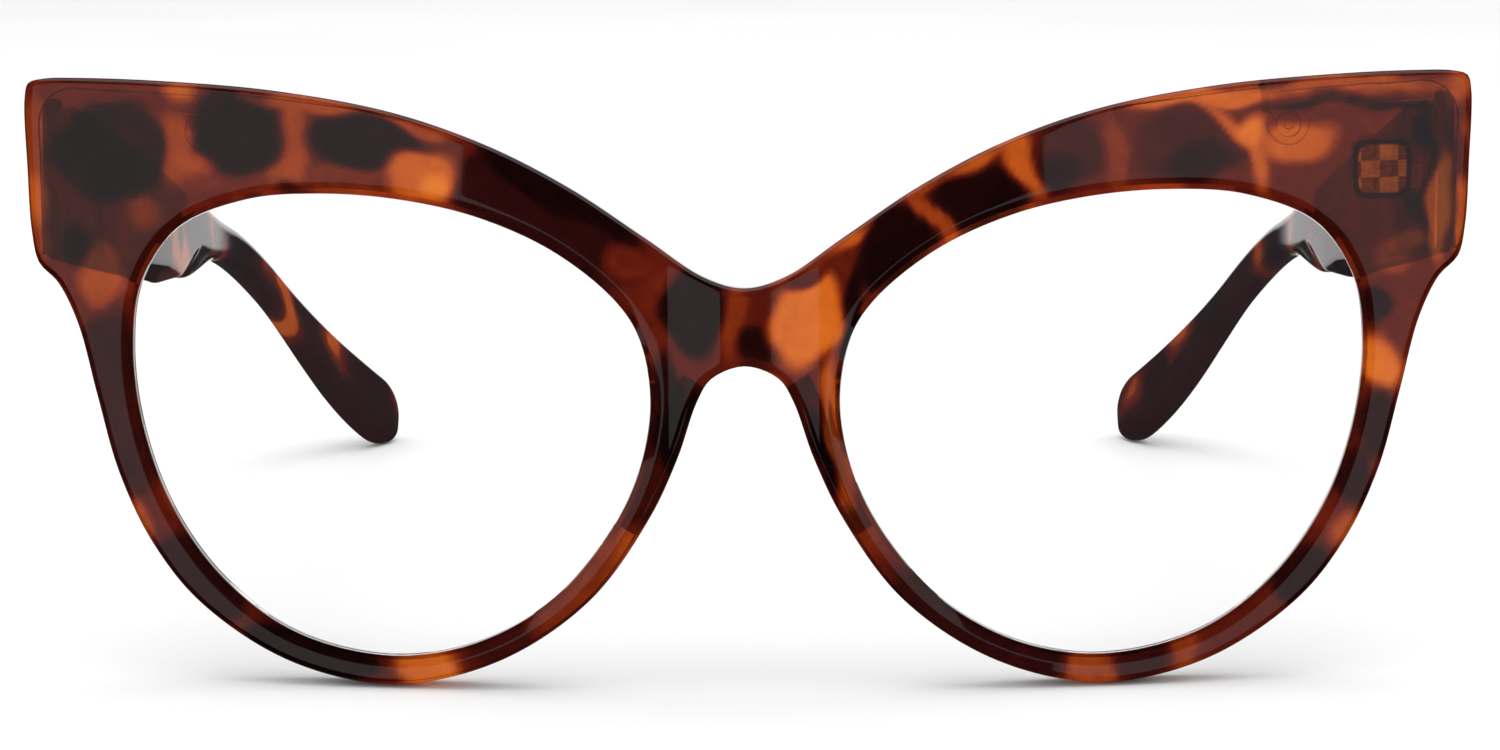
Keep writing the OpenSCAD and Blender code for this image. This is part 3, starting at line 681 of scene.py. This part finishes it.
def clear_lens():
    m = Nodes("clear_lens")
    tint = m.ramp(m.noise(30, 2), [(0.3, (0.985, 0.992, 0.99)), (0.7, (0.995, 0.997, 0.997))])
    m.join(tint, m.shader.inputs["Base Color"])
    m.set(Transmission_Weight=1.0, IOR=1.5, Roughness=0.0, Specular_Tint=(0.12, 0.12, 0.14, 1))
    return m.mat


def ground_edge_painted_shade():
    m = Nodes("ground_edge_painted_shade")
    # Near black: painted shade of the frame's groove, laid on the lens's ground edge
    m.join(m.ramp(m.noise(2500, 3), [(0.3, (0.02, 0.018, 0.018)), (0.7, (0.06, 0.054, 0.052))]),
           m.shader.inputs["Base Color"])
    m.set(Transmission_Weight=0.3, IOR=1.5, Roughness=0.45)
    m.bump(m.noise(4000, 2), 0.3, 0.00002)
    return m.mat


# Over the left hinge's foot a dark ring and a check pattern are painted as shade and light of the foot's cut metal,
# because the grooves cut in it show too faintly
FOOT_X, FOOT_Z, FOOT_HALF_W, FOOT_HALF_H = 65.3, 52.3, 0.0029, 0.0028
foot = placed([(FOOT_X, front_y(FOOT_X, FOOT_Z), FOOT_Z)])[0]
FRONT_MAT = tortoise("tortoise_front", 0.8, (foot[0], foot[2], FOOT_HALF_W, FOOT_HALF_H))
TEMPLE_MAT = tortoise("tortoise_temple", 0.4)
LENS_MAT, EDGE_MAT = clear_lens(), ground_edge_painted_shade()
BRASS = metal("hinge_brass", (0.62, 0.4, 0.16), (0.95, 0.72, 0.38), 0.3, (1, 1, 6))
BRONZE = metal("foot_bronze", (0.07, 0.045, 0.03), (0.3, 0.2, 0.1), 0.3, (1, 1, 6))
STEEL = metal("screw_steel", (0.45, 0.45, 0.47), (0.78, 0.78, 0.8), 0.24, (1, 1, 10))
WIRE = metal("core_steel", (0.5, 0.5, 0.52), (0.72, 0.72, 0.74), 0.35, (6, 1, 1))

for obj, mat in [(front, FRONT_MAT)] + [(o, FRONT_MAT) for o in pads.values()] + \
        [(o, TEMPLE_MAT) for o in temples.values()] + [(o, LENS_MAT) for o in lenses.values()]:
    obj.data.materials.clear()
    obj.data.materials.append(mat)

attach(front, "front")
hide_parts("front_frame")
for side in ("left", "right"):
    for piece, node, body, slot in ((lenses[side], "_lens", "front", "lens"),
                                    (pads[side], "_nose_pad", "front", "tortoise_front"),
                                    (temples[side], "_temple", side + "_temple", "tortoise_temple")):
        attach(piece, body)
        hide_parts(side + node)
    lenses[side].data.materials.append(EDGE_MAT)
    lenses[side].visible_shadow = False
    for node, mat in (("_front_hinge_leaf", BRONZE), ("_temple_hinge_leaf", BRASS), ("_hinge_screw", STEEL),
                      ("_core_wire", WIRE)):
        obj = frame["nodes"][side + node]
        obj.data.materials.clear()
        obj.data.materials.append(mat)

# ---- Stage ----


def stage_plane(name, size, z):
    mesh = bpy.data.meshes.new(name)
    mesh.from_pydata([(-size, -size, z), (size, -size, z), (size, size, z), (-size, size, z)], [], [(0, 1, 2, 3)])
    obj = bpy.data.objects.new(name, mesh)
    bpy.context.scene.collection.objects.link(obj)
    return obj


floor = stage_plane("floor", 4.0, -0.00005)
m = Nodes("pale_floor")
m.join(m.ramp(m.noise(4, 2), [(0.3, (0.86, 0.86, 0.86)), (0.7, (0.9, 0.9, 0.9))]), m.shader.inputs["Base Color"])
m.set(Roughness=0.7, Specular_IOR_Level=0.2)
floor.data.materials.append(m.mat)
floor.visible_glossy = False


def area_light(name, at, to, width, height, radiance):
    data = bpy.data.lights.new(name, "AREA")
    data.shape, data.size, data.size_y = "RECTANGLE", width, height
    data.energy = radiance * math.pi * width * height
    obj = bpy.data.objects.new(name, data)
    bpy.context.scene.collection.objects.link(obj)
    obj.location = at
    obj.rotation_euler = (Vector(to) - Vector(at)).to_track_quat("-Z", "Y").to_euler()
    obj.visible_camera = False
    return obj


# The softboxes differ in width because their reflections end at different places on the two rims
for name, x, width in (("softbox_left", 0.588, 0.664), ("softbox_right", -0.6, 0.646)):
    area_light(name, (x, -0.93, 0.12), (math.copysign(0.03, x), -0.07, 0.04), width, 0.9, 0.55)
area_light("overhead", (0, 0.1, 1.2), (0, 0, 0), 1.6, 1.2, 1.2)

world = bpy.data.worlds.new("studio")
bpy.context.scene.world = world
world.use_nodes = True
tree = world.node_tree
tree.nodes.clear()


def world_node(kind, **values):
    node = tree.nodes.new(kind)
    for key, value in values.items():
        if key.replace("_", " ") in node.inputs:
            node.inputs[key.replace("_", " ")].default_value = value
        else:
            setattr(node, key, value)
    return node


# Plain white, but what shiny surfaces reflect is a dark room with a bright backdrop behind
out, rays = world_node("ShaderNodeOutputWorld"), world_node("ShaderNodeLightPath")
plain, mirror = (world_node("ShaderNodeBackground", Strength=1.0, Color=(1, 1, 1, 1)) for k in range(2))
mix, where, axes = (world_node("ShaderNode" + kind) for kind in ("MixShader", "TexCoord", "SeparateXYZ"))
backdrop = world_node("ShaderNodeMapRange", interpolation_type="SMOOTHSTEP", From_Min=0.94, From_Max=0.98,
                      To_Min=0.02, To_Max=1.1)
both = world_node("ShaderNodeMath", operation="MULTIPLY")
for a, b in ((where.outputs["Generated"], axes.inputs[0]), (axes.outputs["Y"], backdrop.inputs["Value"]),
             (backdrop.outputs["Result"], mirror.inputs["Color"]), (rays.outputs["Is Glossy Ray"], both.inputs[0]),
             (rays.outputs["Is Reflection Ray"], both.inputs[1]), (both.outputs[0], mix.inputs[0]),
             (plain.outputs[0], mix.inputs[1]), (mirror.outputs[0], mix.inputs[2]), (mix.outputs[0], out.inputs[0])):
    tree.links.new(a, b)

CAMERA_AT = (0.0075, REST_Y / 1000 - 0.3696, 0.0927)
CAMERA_TURNS = ((1.07, "Z"), (90 - 9.165, "X"), (-0.43, "Z"))

camera_data = bpy.data.cameras.new("camera")
camera_data.sensor_width = 36.0
camera_data.lens = 89.9
camera_data.clip_start = 0.01
camera = bpy.data.objects.new("camera", camera_data)
bpy.context.scene.collection.objects.link(camera)
camera.matrix_world = Matrix.Translation(CAMERA_AT)
for angle, axis in CAMERA_TURNS:
    camera.matrix_world = camera.matrix_world @ Matrix.Rotation(math.radians(angle), 4, axis)
bpy.context.scene.camera = camera
bpy.context.scene.view_settings.view_transform = "Standard"

bpy.context.view_layer.update()
